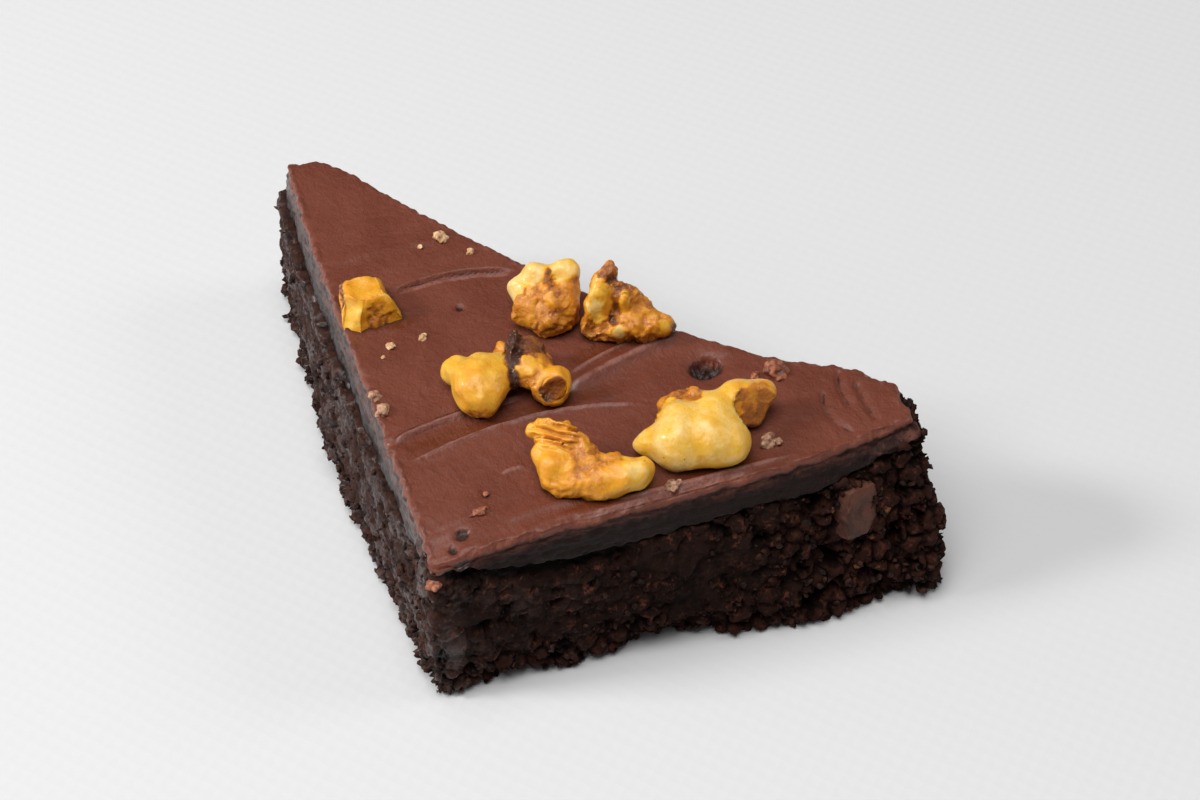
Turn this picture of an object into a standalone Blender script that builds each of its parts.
"""A triangular walnut brownie: a dense chocolate crumb, a thick layer of frosting and pieces of walnut kernel.

It is modelled in the frame of its two knife cuts, in millimetres: the square corner at the origin, X along the
front cut and Y along the left cut. An empty then turns it so that its long side runs along X, and centres it.
"""

import math
from collections import namedtuple

import bmesh
import bpy
from mathutils import Matrix, Vector, noise
from mathutils.geometry import delaunay_2d_cdt

MM = 0.001

# Driving sizes
HEIGHT = 30.0  # from the table to the frosting's flat top
LAYER_LINE = 23.0  # where the crumb ends and the frosting starts
GAP = 0.4  # clearance between two pieces that lie on each other
CRUMB_STEP = 1.6  # size of a facet on the crumb's torn sides
FROSTING_STEP = 2.4
CAP_STEP = 5.5  # size of a facet on faces that are hidden

# Placing: the long side turned onto X, the whole centred over the origin
LONG_SIDE_TURN = math.radians(52.0)
SQUARE_CORNER_AT = (0.00593, -0.03156)
VIEW_TURN = math.radians(-23.0)  # walnuts are described looking along the front cut's slant

# The outline has a foot on the table and a shoulder at full height, and the sides run straight between them.
# The crumb reaches out past the frosting at both sharp ends.
Corner = namedtuple("Corner", "foot crumb frosting fillet")
OUTLINE = (
    Corner((-1.9, -2.3), (-0.4, -0.6), (0.0, 0.0), 1.6),  # square corner
    Corner((27.0, -5.4), (27.0, -2.8), (28.0, -2.2), 9.0),
    Corner((52.0, -11.6), (57.0, -4.8), (57.0, -4.0), 7.0),
    Corner((77.0, -12.8), (78.0, -4.2), (76.2, -2.4), 2.0),  # blunt end, front
    Corner((79.8, -4.0), (77.8, 0.0), (75.4, 1.6), 1.0),
    Corner((79.0, 3.0), (76.8, 3.6), (76.6, 4.4), 1.0),  # blunt end, back
    Corner((71.6, 12.2), (70.6, 11.8), (70.6, 11.8), 3.0),
    Corner((63.4, 17.2), (62.7, 16.8), (62.5, 16.6), 4.0),
    Corner((47.4, 34.0), (46.6, 33.4), (46.4, 33.2), 8.0),
    Corner((27.4, 65.0), (26.6, 64.4), (26.3, 64.2), 8.0),
    Corner((17.4, 84.8), (16.6, 84.4), (15.9, 83.6), 3.0),
    Corner((13.4, 90.0), (12.9, 89.6), (12.2, 88.0), 2.0),  # sharp tip
    Corner((4.0, 92.4), (4.8, 91.6), (6.6, 89.2), 1.6),
    Corner((0.2, 68.0), (2.4, 67.0), (4.2, 66.0), 9.0),
    Corner((-2.2, 44.0), (1.0, 44.0), (2.9, 44.0), 9.0),
)

FOOT_ROUND = 1.0  # how far the crumb's bottom edge is rounded in
ARCH_AT, ARCH_HALF, ARCH_DEPTH, ARCH_HEIGHT = 35.0, 12.0, 3.6, 7.0  # where the front's foot came away
SWELLS = (  # where the crumb stands out: place, radius, height
    ((-2.4, 48.5, 10.5), 3.0, 3.2),
    ((79.5, -10.5, 8.0), 8.0, 2.6),
)

# Knife strokes in the frosting: start, bend, end, ridge height, step up behind the stroke, half width
Stroke = namedtuple("Stroke", "start bend end ridge step width")
STROKES = (
    Stroke((12.0, 53.2), (23.0, 53.4), (33.0, 50.0), -0.35, 0.55, 0.9),
    Stroke((5.0, 63.0), (16.0, 62.6), (27.0, 60.6), 0.2, 0.0, 1.0),
    Stroke((2.5, 22.8), (10.0, 24.4), (26.0, 24.6), 0.45, 0.6, 0.9),
    Stroke((1.5, 18.2), (24.0, 20.2), (42.0, 14.6), 0.5, -0.5, 0.9),
    Stroke((29.0, 23.0), (40.0, 25.6), (52.0, 27.4), 0.75, 0.0, 1.8),
    Stroke((12.0, 2.6), (17.0, 3.0), (24.0, 2.4), 0.35, 0.0, 1.0),
    Stroke((69.8, 10.0), (68.6, 7.0), (67.6, 3.6), -0.4, 0.0, 0.9),
    Stroke((71.0, 7.8), (70.4, 3.5), (70.2, -1.2), -0.5, 0.0, 0.9),
    Stroke((65.6, 4.6), (65.0, 1.0), (66.0, -2.6), -0.4, 0.0, 0.9),
)
PITS = (((51.3, 19.7), 2.3, 1.3), ((5.9, 3.3), 1.1, 0.5), ((21.5, 46.2), 0.9, 0.5))  # place, radius, depth

# Bits that stuck to the frosting: place on the top and radius. Two are chocolate, the others are nut crumbs.
FROSTING_BITS = (
    ((60.6, 14.0), 1.9),
    ((24.0, 61.6), 1.2),
    ((27.3, 56.9), 0.8),
    ((14.0, 42.1), 0.8),
    ((8.8, 42.1), 0.8),
    ((3.0, 32.8), 1.0),
    ((3.0, 29.6), 1.1),
    ((53.4, 2.0), 1.2),
    ((36.6, -1.0), 1.1),
    ((9.5, 5.6), 1.2),
)
CRUMB_BIT_AT, CRUMB_BIT_RADIUS = (-0.9, -0.6, 23.4), 1.6

CHUNK_SIZE, CHUNK_AT, CHUNK_TURN = (7.0, 6.0, 8.6), (64.6, -5.2, 18.4), (-15.0, 10.0, 14.0)

# Walnut pieces: a place on the frosting, how many facets, and lobes as (right, away, up) and their three
# radii. A broken face is a point on it, the way it looks and how far it reaches.
Walnut = namedtuple("Walnut", "name place facets lobes flats")
WALNUTS = (
    Walnut(
        "walnut_left_chunk",
        (7.9, 49.3),
        420,
        (
            ((-0.2, 1.4, 2.2), (5.2, 5.6, 4.5)),
            ((-2.4, -1.6, 1.0), (1.8, 2.0, 2.0)),
            ((2.6, 1.2, 2.2), (2.4, 2.4, 2.0)),
        ),
        (
            ((0.0, 1.5, 5.2), (0.05, 0.05, 1.0), 9.0),
            ((-0.7, 0.0, 4.8), (-0.3, -0.75, 0.6), 9.0),
            ((-0.7, 0.0, 4.8), (0.38, -0.8, 0.45), 9.0),
            ((3.9, 2.6, 3.0), (0.85, 0.5, 0.1), 9.0),
            ((-4.5, 1.5, 3.0), (-1.0, 0.1, 0.15), 9.0),
        ),
    ),
    Walnut(
        "walnut_back_left",
        (32.6, 37.7),
        520,
        (
            ((0.2, 0.9, 3.6), (4.2, 3.2, 3.4)),
            ((-3.9, 2.6, 4.9), (2.2, 2.0, 2.3)),
            ((-1.4, 3.7, 6.8), (2.5, 2.0, 2.4)),
            ((2.9, 4.0, 7.4), (2.6, 2.1, 2.6)),
            ((-3.2, -0.7, 3.0), (2.2, 2.3, 2.8)),
            ((0.6, 0.2, 5.0), (2.8, 2.3, 2.6)),
            ((0.7, -2.2, 2.7), (3.1, 2.5, 2.7)),
            ((3.7, 1.1, 4.8), (1.9, 2.1, 2.7)),
            ((3.3, -0.9, 2.9), (1.9, 2.0, 2.6)),
        ),
        (),
    ),
    Walnut(
        "walnut_back_right",
        (42.8, 31.5),
        620,
        (
            ((-4.4, -1.4, 2.8), (2.1, 2.1, 2.8)),
            ((-3.8, -0.2, 6.0), (1.8, 1.8, 3.0)),
            ((-3.3, 1.8, 8.8), (2.0, 1.8, 2.4)),
            ((-1.9, 2.9, 10.3), (1.7, 1.5, 1.8)),
            ((-0.6, -1.6, 2.4), (3.2, 2.3, 2.6)),
            ((-0.9, 1.2, 5.0), (2.0, 1.6, 3.0)),
            ((1.6, 0.9, 5.2), (2.4, 2.1, 2.8)),
            ((3.2, 0.6, 4.1), (1.7, 1.7, 2.4)),
            ((2.6, -2.0, 2.6), (2.4, 2.0, 2.5)),
            ((5.3, -1.2, 2.8), (2.6, 2.2, 2.7)),
            ((7.5, -1.3, 2.1), (1.0, 0.9, 0.9)),
        ),
        (),
    ),
    Walnut(
        "walnut_middle",
        (20.7, 26.6),
        680,
        (
            ((-6.5, 1.2, 3.6), (2.3, 2.3, 2.5)),
            ((-1.9, 1.7, 4.3), (2.5, 2.4, 2.5)),
            ((-2.7, -2.7, 3.2), (4.1, 4.0, 3.8)),
            ((-4.0, -0.6, 3.8), (3.0, 2.9, 3.0)),
            ((-1.2, -0.6, 3.8), (2.8, 2.7, 3.0)),
            ((0.0, 5.2, 3.0), (1.5, 2.2, 2.4)),
            ((2.4, 5.2, 4.3), (1.1, 2.6, 2.4)),
            ((2.1, 2.4, 4.1), (1.3, 2.4, 2.6)),
            ((2.4, 0.6, 3.0), (1.1, 1.6, 2.0)),
            ((4.7, 4.8, 4.1), (2.4, 2.4, 2.6)),
            ((4.9, 1.2, 3.8), (2.7, 3.0, 2.9)),
            ((6.6, 2.4, 3.2), (1.8, 1.8, 2.2)),
            ((8.2, -0.9, 2.8), (2.5, 2.6, 2.7)),
            ((6.8, -2.0, 2.1), (1.9, 1.9, 2.0)),
        ),
        (),
    ),
    Walnut(
        "walnut_front_hook",
        (26.2, 4.8),
        680,
        (
            ((-5.0, 0.4, 3.6), (2.6, 2.5, 2.8)),
            ((-6.4, 2.4, 4.3), (1.9, 1.7, 1.8)),
            ((-3.6, -1.9, 2.3), (2.5, 2.2, 2.3)),
            ((-6.0, -0.9, 2.2), (1.4, 1.6, 2.0)),
            ((0.9, -2.5, 2.4), (2.6, 2.2, 2.4)),
            ((-0.6, -0.6, 3.3), (2.6, 2.1, 2.3)),
            ((3.6, -1.6, 2.8), (2.7, 2.4, 2.6)),
            ((6.2, -0.6, 3.1), (2.6, 2.4, 2.6)),
            ((7.9, 0.3, 3.1), (1.5, 1.7, 1.9)),
            ((3.6, 1.5, 3.4), (1.5, 1.3, 1.6)),
            ((1.8, 0.0, 3.7), (2.1, 1.5, 1.9)),
            ((-8.3, 5.8, 5.4), (1.1, 0.9, 1.2)),
            ((-6.3, 5.5, 5.9), (2.0, 1.3, 1.9)),
            ((-4.2, 4.8, 6.0), (2.1, 1.2, 2.1)),
            ((-2.0, 3.3, 5.4), (2.0, 1.2, 2.2)),
            ((-0.3, 2.1, 4.6), (1.5, 1.1, 1.7)),
            ((-5.4, 3.4, 4.2), (2.2, 1.6, 1.8)),
            ((-2.6, 1.6, 3.6), (2.4, 1.6, 1.9)),
        ),
        (),
    ),
    Walnut(
        "walnut_right_large",
        (43.9, 5.1),
        760,
        (
            ((-3.4, -2.5, 3.6), (4.0, 4.1, 4.5)),
            ((-6.8, -1.6, 2.7), (2.7, 2.7, 2.5)),
            ((-8.6, -1.6, 1.9), (1.3, 1.2, 1.3)),
            ((3.4, -2.4, 3.2), (3.9, 3.3, 3.5)),
            ((-2.8, 0.8, 4.4), (3.7, 3.6, 3.4)),
            ((2.2, 0.4, 4.3), (3.3, 3.2, 3.3)),
            ((1.9, 2.8, 4.9), (3.2, 3.1, 3.1)),
            ((5.6, 5.0, 5.4), (3.2, 3.1, 2.8)),
            ((8.6, 6.4, 4.9), (2.6, 2.3, 2.1)),
            ((10.2, 7.5, 4.6), (1.1, 1.1, 1.1)),
            ((7.4, 4.3, 3.0), (2.6, 2.3, 2.7)),
            ((-3.6, 5.0, 3.3), (2.7, 2.4, 2.5)),
            ((-0.8, 5.2, 3.9), (2.9, 2.4, 2.5)),
        ),
        (
            ((8.3, 3.8, 4.2), (0.72, -0.62, 0.3), 4.2),
        ),
    ),
)
NUT_SUNK = 0.5  # how deep a walnut sits in the soft frosting
NUT_VOXEL = 0.55


def smooth_step(low, high, value):
    share = min(max((value - low) / (high - low), 0.0), 1.0)
    return share * share * (3.0 - 2.0 * share)


def bump(distance, width):
    return math.exp(-((distance / width) ** 2))


# Outline of the slice
def counts_along(points, fillets, step):
    """Facets on each corner's arc and on the straight that follows it."""
    counts = []
    for index, point in enumerate(points):
        following = (index + 1) % len(points)
        straight = (Vector(points[following]) - Vector(point)).length - fillets[index] - fillets[following]
        arc = fillets[index] * 1.6
        counts.append((max(2, round(arc / step)), max(1, round(straight / step))))
    return counts


def filleted(points, fillets, counts):
    """The closed outline through the points, each corner rounded by a quadratic arc."""
    corners = [Vector(point) for point in points]
    arcs = []
    for index, corner in enumerate(corners):
        before, after = corners[index - 1], corners[(index + 1) % len(corners)]
        start = corner + (before - corner).normalized() * fillets[index]
        end = corner + (after - corner).normalized() * fillets[index]
        arcs.append((start, corner, end))
    outline = []
    for index, (start, corner, end) in enumerate(arcs):
        turns, steps = counts[index]
        for turn in range(turns):
            t = turn / turns
            outline.append(start * (1 - t) ** 2 + corner * 2 * t * (1 - t) + end * t**2)
        next_start = arcs[(index + 1) % len(arcs)][0]
        outline += [end.lerp(next_start, step / steps) for step in range(steps)]
    return outline


def outward(outline):
    """The outward direction at each point of a closed outline that runs anticlockwise."""
    directions = []
    for index, _ in enumerate(outline):
        along = outline[(index + 1) % len(outline)] - outline[index - 1]
        directions.append(Vector((along.y, -along.x)).normalized())
    return directions


class Sides:
    """The sloping sides of the slice, from the foot to the shoulder of one layer."""

    def __init__(self, layer, step):
        fillets = [corner.fillet for corner in OUTLINE]
        feet = [corner.foot for corner in OUTLINE]
        counts = counts_along(feet, fillets, step)
        self.foot = filleted(feet, fillets, counts)
        self.shoulder = filleted([getattr(corner, layer) for corner in OUTLINE], fillets, counts)
        self.out = outward(self.shoulder)

    def at(self, index, z, push=0.0):
        return self.foot[index].lerp(self.shoulder[index], z / HEIGHT) + self.out[index] * push

    def __len__(self):
        return len(self.foot)


# Heights of the two layers
def layer_line(x, y):
    """The surface between crumb and frosting, which rises at the square corner and at the blunt end."""
    corner_rise = 3.0 * bump(math.hypot(x, y), 9.0)
    end_rise = 5.2 * smooth_step(56.0, 75.0, x)
    wave = 0.5 * noise.noise(Vector((x, y, 0.0)) / 12.0)
    return LAYER_LINE + corner_rise + end_rise + wave


def stroke_relief(stroke, x, y):
    """Height that one knife stroke adds at a point: a ridge or groove along it, and a step behind it."""
    point = Vector((x, y))
    start, bend, end = (Vector(p) for p in (stroke.start, stroke.bend, stroke.end))
    pieces = 8
    nearest = None
    before = start
    for piece in range(1, pieces + 1):
        t = piece / pieces
        after = start * (1 - t) * (1 - 2 * t) + bend * 4 * t * (1 - t) + end * t * (2 * t - 1)
        along = after - before
        share = min(max((point - before).dot(along) / along.length_squared, 0.0), 1.0)
        foot = before + along * share
        distance = (point - foot).length
        if nearest is None or distance < nearest[0]:
            side = along.x * (point.y - foot.y) - along.y * (point.x - foot.x)
            nearest = (distance, math.copysign(1.0, side), (piece - 1 + share) / pieces)
        before = after
    distance, side, place = nearest
    fade = smooth_step(0.0, 0.18, place) * smooth_step(1.0, 0.82, place)
    ridge = stroke.ridge * bump(distance, stroke.width)
    behind = side * math.tanh(distance / (0.6 * stroke.width)) * math.exp(-distance / 4.0)
    return fade * (ridge + 0.5 * stroke.step * behind)


def frosting_top(x, y):
    """The spread surface: nearly flat, lower at the square corner, with knife strokes and small pits."""
    height = HEIGHT - 2.4 * math.exp(-math.hypot(x, y) / 6.0)
    height += 0.35 * noise.noise(Vector((x / 30.0, y / 14.0, 3.0)))
    height += sum(stroke_relief(stroke, x, y) for stroke in STROKES)
    for (pit_x, pit_y), radius, depth in PITS:
        height -= depth * bump(math.hypot(x - pit_x, y - pit_y), radius)
    return height


# Torn surface of the crumb
def tornness(x, y, z):
    """From 0, where the knife smeared the crumb flat, to 1, where it tore."""
    right_end = smooth_step(38.0, 62.0, x)
    low = smooth_step(11.0, 3.0, z)
    return 0.4 + 0.6 * max(right_end, low)


def crag(x, y, z):
    """How far the crumb stands out of, or is torn back from, the plane of its cut."""
    place = Vector((x, y, z))
    lumps = 0.9 * noise.noise(place / 7.0)
    lumps += 0.7 * noise.noise(place / 3.3 + Vector((5.1, 2.3, 8.7)))
    lumps += 0.45 * noise.noise(place / 1.7 + Vector((1.9, 7.7, 3.1)))
    nearest_hole = noise.voronoi(place / 4.6)[0][0]
    hole = 1.7 * smooth_step(0.42, 0.12, nearest_hole)
    arch_share = 1.0 - min(abs(x - ARCH_AT) / ARCH_HALF, 1.0)
    arch = ARCH_DEPTH * smooth_step(0.0, 1.0, arch_share) * smooth_step(ARCH_HEIGHT, 0.0, z)
    if y > 2.0:
        arch = 0.0
    swell = sum(height * bump((place - Vector(at)).length, radius) for at, radius, height in SWELLS)
    return tornness(x, y, z) * (lumps - hole) + swell - arch


# Meshing
def ring(bm, places):
    return [bm.verts.new(place) for place in places]


def bridge(bm, lower, upper):
    for index, _ in enumerate(lower):
        following = (index + 1) % len(lower)
        bm.faces.new((lower[index], lower[following], upper[following], upper[index]))


def lattice(boundary, step):
    """Points on a triangular lattice that lie inside the boundary and clear of it."""
    low_x, high_x = min(p.x for p in boundary), max(p.x for p in boundary)
    low_y, high_y = min(p.y for p in boundary), max(p.y for p in boundary)
    row_step = step * math.sqrt(3) / 2
    points = []
    for row in range(int((high_y - low_y) / row_step) + 1):
        y = low_y + row * row_step
        crossings = sorted(
            a.x + (b.x - a.x) * (y - a.y) / (b.y - a.y)
            for a, b in zip(boundary, boundary[1:] + boundary[:1])
            if (a.y > y) != (b.y > y)
        )
        for left, right in zip(crossings[0::2], crossings[1::2]):
            for column in range(int((high_x - low_x) / step) + 2):
                x = low_x + (column + 0.5 * (row % 2)) * step
                point = Vector((x, y))
                if left < x < right and min((point - b).length for b in boundary) > 0.62 * step:
                    points.append(point)
    return points


def cap(bm, rim, height, step):
    """Closes a ring with triangles whose inner points lie on height(x, y)."""
    boundary = [vert.co.xy for vert in rim]
    inner = lattice(boundary, step)
    verts = rim + [bm.verts.new((p.x, p.y, height(p.x, p.y))) for p in inner]
    loop = list(range(len(rim)))
    triangles = delaunay_2d_cdt(boundary + inner, [], [loop], 1, 1e-6)[2]
    for triangle in triangles:
        bm.faces.new([verts[index] for index in triangle])


def finish_mesh(bm, name, material):
    """Turns the mesh from millimetres to metres and makes it an object."""
    bmesh.ops.recalc_face_normals(bm, faces=bm.faces)
    bmesh.ops.scale(bm, vec=(MM, MM, MM), verts=bm.verts)
    mesh = bpy.data.meshes.new(name)
    bm.to_mesh(mesh)
    bm.free()
    mesh.materials.append(material)
    made = bpy.data.objects.new(name, mesh)
    bpy.context.collection.objects.link(made)
    return made


def applied(made):
    """Replaces an object's mesh by what its modifiers make of it."""
    graph = bpy.context.evaluated_depsgraph_get()
    mesh = bpy.data.meshes.new_from_object(made.evaluated_get(graph))
    made.modifiers.clear()
    made.data = mesh
    return made


def joined(body, additions):
    """Fuses small solids onto a body and removes them."""
    group = bpy.data.collections.new(body.name + "_bits")
    bpy.context.scene.collection.children.link(group)
    for addition in additions:
        bpy.context.collection.objects.unlink(addition)
        group.objects.link(addition)
    fuse = body.modifiers.new("Fuse bits", "BOOLEAN")
    fuse.operation = "UNION"
    fuse.operand_type = "COLLECTION"
    fuse.collection = group
    applied(body)
    for addition in additions:
        bpy.data.objects.remove(addition)
    bpy.data.collections.remove(group)
    return body


def cut_from(body, cutter):
    """Removes the cutter's space from a body, and then the cutter."""
    cut = body.modifiers.new("Cut", "BOOLEAN")
    cut.operation = "DIFFERENCE"
    cut.object = cutter
    applied(body)
    bpy.data.objects.remove(cutter)
    return body


# Materials
def finish(name, color, roughness):
    material = bpy.data.materials.new(name)
    material.use_nodes = True
    shader = material.node_tree.nodes["Principled BSDF"]
    shader.inputs["Base Color"].default_value = (*color, 1.0)
    shader.inputs["Roughness"].default_value = roughness
    shader.inputs["Metallic"].default_value = 0.0
    return material


# Pieces of the brownie
def bit(place, radius, material, seed):
    """A small irregular crumb of chocolate or nut."""
    bm = bmesh.new()
    bmesh.ops.create_icosphere(bm, subdivisions=1, radius=radius)
    for vert in bm.verts:
        vert.co *= 1.0 + 0.25 * noise.noise(vert.co * 1.3 + Vector((seed, 0.0, 0.0)))
        vert.co.z *= 0.75
        vert.co += Vector(place)
    return finish_mesh(bm, f"bit_{seed}", material)


def make_crumb(material):
    """The baked body: torn sides, a rounded ragged foot, and a top that the frosting follows."""
    sides = Sides("crumb", CRUMB_STEP)
    levels = 14
    bm = bmesh.new()
    rings = []
    for level in range(levels + 1):
        places = []
        for index in range(len(sides)):
            flat = sides.at(index, LAYER_LINE * level / levels)
            top = layer_line(flat.x, flat.y) - GAP / 2
            z = top * level / levels
            push = crag(flat.x, flat.y, z)
            if level == 0:
                push -= FOOT_ROUND
            elif level < levels:
                z += 0.35 * noise.noise(Vector((flat.x, flat.y, z)) / 2.1)
            spot = sides.at(index, z, push)
            if level == levels:
                z = layer_line(spot.x, spot.y) - GAP / 2
            places.append((spot.x, spot.y, z))
        rings.append(ring(bm, places))
    for lower, upper in zip(rings, rings[1:]):
        bridge(bm, lower, upper)
    bm.faces.new(reversed(rings[0]))
    cap(bm, rings[-1], lambda x, y: layer_line(x, y) - GAP / 2, CAP_STEP)
    crumb = finish_mesh(bm, "crumb", material)
    return joined(crumb, [bit(CRUMB_BIT_AT, CRUMB_BIT_RADIUS, material, 41)])


def frosting_mesh(material, lift=0.0):
    """The spread layer: cut faces that show at the sides, a rounded rim and the knife-stroked top."""
    sides = Sides("frosting", FROSTING_STEP)
    rim_profile = ((0.9, 0.0), (0.3, 0.35), (0.0, 1.0))  # drop below the top, and how far in
    bm = bmesh.new()
    lower = []
    middle = []
    for index in range(len(sides)):
        wave = 0.3 * noise.noise(Vector((*sides.shoulder[index], 5.0)) / 5.0)
        flat = sides.at(index, LAYER_LINE, wave)
        lower.append((flat.x, flat.y, layer_line(flat.x, flat.y) + GAP / 2 + lift))
        between = sides.at(index, 0.5 * (LAYER_LINE + HEIGHT), 0.6 * wave)
        line = layer_line(between.x, between.y) + GAP / 2
        middle.append((between.x, between.y, 0.5 * (line + frosting_top(between.x, between.y) - 0.9) + lift))
    rings = [ring(bm, lower), ring(bm, middle)]
    for drop, inset in rim_profile:
        places = []
        for index in range(len(sides)):
            flat = sides.at(index, HEIGHT, -inset)
            places.append((flat.x, flat.y, frosting_top(flat.x, flat.y) - drop + lift))
        rings.append(ring(bm, places))
    for below, above in zip(rings, rings[1:]):
        bridge(bm, below, above)
    cap(bm, rings[-1], lambda x, y: frosting_top(x, y) + lift, FROSTING_STEP)
    cap(bm, rings[0], lambda x, y: layer_line(x, y) + GAP / 2 + lift, CAP_STEP)
    return finish_mesh(bm, "frosting", material)


def make_frosting(material):
    bits = []
    for seed, ((x, y), radius) in enumerate(FROSTING_BITS):
        bits.append(bit((x, y, frosting_top(x, y) + 0.25 * radius), radius, material, seed))
    return joined(frosting_mesh(material), bits)


def make_chunk(material, grown=0.0, name="chocolate_chunk"):
    """A chocolate chunk baked into the front, with worn corners."""
    bm = bmesh.new()
    size = [side + 2 * grown for side in CHUNK_SIZE]
    bmesh.ops.create_cube(bm, size=1.0)
    bmesh.ops.scale(bm, vec=size, verts=bm.verts)
    bmesh.ops.bevel(bm, geom=bm.edges[:], offset=1.1, segments=2, profile=0.6, affect="EDGES")
    turns = [Matrix.Rotation(math.radians(angle), 3, axis) for angle, axis in zip(CHUNK_TURN, "XYZ")]
    bmesh.ops.rotate(bm, cent=(0, 0, 0), matrix=turns[2] @ turns[1] @ turns[0], verts=bm.verts)
    bmesh.ops.translate(bm, vec=CHUNK_AT, verts=bm.verts)
    return finish_mesh(bm, name, material)


def walnut_wrinkle(place, seed):
    """The kernel's folds: broad soft gullies and a finer crinkle."""
    offset = Vector((seed * 3.7, 1.3, 0.0))
    gully = 1.0 - abs(noise.noise(place / 3.1 + offset)) * 2.6
    return 0.3 * noise.noise(place / 2.0 + offset) - 0.3 * max(gully, 0.0) ** 2


def make_walnut(nut, seed, material, frosting_cutter):
    """One broken piece of kernel: overlapping lobes melted together, broken faces pressed flat, skin wrinkled."""
    bm = bmesh.new()
    for middle, radii in nut.lobes:
        made = bmesh.ops.create_icosphere(bm, subdivisions=3, radius=1.0)["verts"]
        bmesh.ops.scale(bm, vec=radii, verts=made)
        bmesh.ops.translate(bm, vec=Vector(middle) - Vector((0.0, 0.0, NUT_SUNK)), verts=made)
    walnut = finish_mesh(bm, nut.name, material)
    melt = walnut.modifiers.new("Melt lobes", "REMESH")
    melt.mode = "VOXEL"
    melt.voxel_size = NUT_VOXEL * MM
    soften = walnut.modifiers.new("Soften", "SMOOTH")
    soften.iterations = 4
    applied(walnut)

    bm = bmesh.new()
    bm.from_mesh(walnut.data)
    bm.normal_update()
    shifts = [vert.normal * walnut_wrinkle(vert.co / MM, seed) * MM for vert in bm.verts]
    for vert, shift in zip(bm.verts, shifts):
        vert.co += shift
        for point, look, reach in nut.flats:
            direction = Vector(look).normalized()
            from_face = vert.co / MM - Vector(point)
            above = max(from_face.dot(direction), 0.0)
            vert.co -= direction * above * smooth_step(reach + 1.5, reach, from_face.length) * MM
    base = Vector((*nut.place, frosting_top(*nut.place))) * MM
    bmesh.ops.rotate(bm, cent=(0, 0, 0), matrix=Matrix.Rotation(VIEW_TURN, 3, "Z"), verts=bm.verts)
    bmesh.ops.translate(bm, vec=base, verts=bm.verts)
    bm.to_mesh(walnut.data)
    bm.free()

    thin = walnut.modifiers.new("Facets", "DECIMATE")
    thin.ratio = nut.facets / (2 * len(walnut.data.polygons))
    applied(walnut)
    seat = frosting_cutter.copy()
    seat.data = frosting_cutter.data.copy()
    bpy.context.collection.objects.link(seat)
    return cut_from(walnut, seat)


def place_on_table(pieces):
    """Turns the long side onto X and centres the slice, with its foot on the ground plane."""
    placing = bpy.data.objects.new("placing", None)
    bpy.context.collection.objects.link(placing)
    placing.location = (*SQUARE_CORNER_AT, 0.0)
    placing.rotation_euler = (0.0, 0.0, LONG_SIDE_TURN)
    for piece in pieces:
        piece.parent = placing
        piece.data.shade_smooth()
        piece.data.set_sharp_from_angle(angle=math.radians(40.0))


def main():
    for leftover in list(bpy.data.objects):
        bpy.data.objects.remove(leftover)
    crumb_finish = finish("crumb", (0.022, 0.010, 0.007), 0.85)
    frosting_finish = finish("frosting", (0.165, 0.055, 0.034), 0.42)
    walnut_finish = finish("walnut", (0.78, 0.46, 0.14), 0.5)
    chocolate_finish = finish("chocolate", (0.055, 0.022, 0.014), 0.4)

    crumb = make_crumb(crumb_finish)
    crumb = cut_from(crumb, make_chunk(chocolate_finish, grown=0.35, name="chunk_pocket"))
    chunk = make_chunk(chocolate_finish)
    seat = frosting_mesh(frosting_finish, lift=GAP)
    seat.name = "seat"
    frosting = make_frosting(frosting_finish)
    frosting.name = "frosting"
    walnuts = [make_walnut(nut, seed, walnut_finish, seat) for seed, nut in enumerate(WALNUTS)]
    bpy.data.objects.remove(seat)
    place_on_table([crumb, chunk, frosting, *walnuts])


main()
